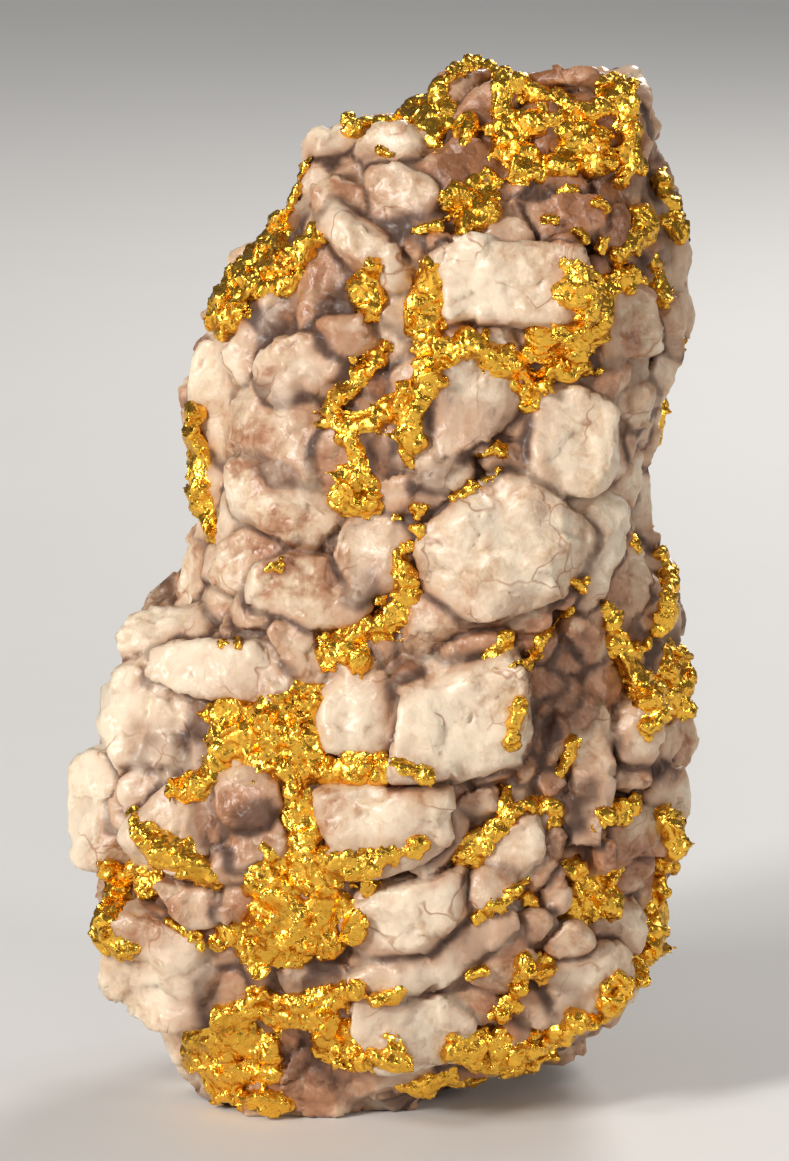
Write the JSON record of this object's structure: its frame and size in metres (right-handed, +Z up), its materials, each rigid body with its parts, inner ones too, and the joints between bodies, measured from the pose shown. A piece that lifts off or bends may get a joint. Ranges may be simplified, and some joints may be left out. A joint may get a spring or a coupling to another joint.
{
  "type": "mineral specimen",
  "caption": "Upright hand-size specimen of blocky white quartz laced with masses and veins of native gold, standing on a flat foot.",
  "frame": {"origin": "on the flat foot the specimen stands on, under the lower left part of the body", "axes": "+Z up along the specimen's height, -Y towards the side that shows the most gold, +X to the right of that side"},
  "size_m": [0.0674, 0.057, 0.1096],
  "materials": {
    "quartz": "waxy",
    "gold": "polished"
  },
  "bodies": {
    "root": {"gold_back_lower": "gold", "gold_back_middle": "gold", "gold_back_upper": "gold", "gold_base_front": "gold", "gold_base_left": "gold", "gold_base_right": "gold", "gold_crown": "gold", "gold_hook": "gold", "gold_knob_right": "gold", "gold_left_edge": "gold", "gold_left_strip": "gold", "gold_lower_mass": "gold", "gold_net": "gold", "gold_patch_right": "gold", "gold_right_rim": "gold", "gold_right_strip": "gold", "gold_side_left": "gold", "gold_side_right": "gold", "gold_small_right": "gold", "gold_square_patch": "gold", "gold_top_right": "gold", "gold_upper_left": "gold", "gold_upper_web": "gold", "gold_vein": "gold", "gold_wing": "gold", "quartz": "quartz"}
  },
  "joints": []
}
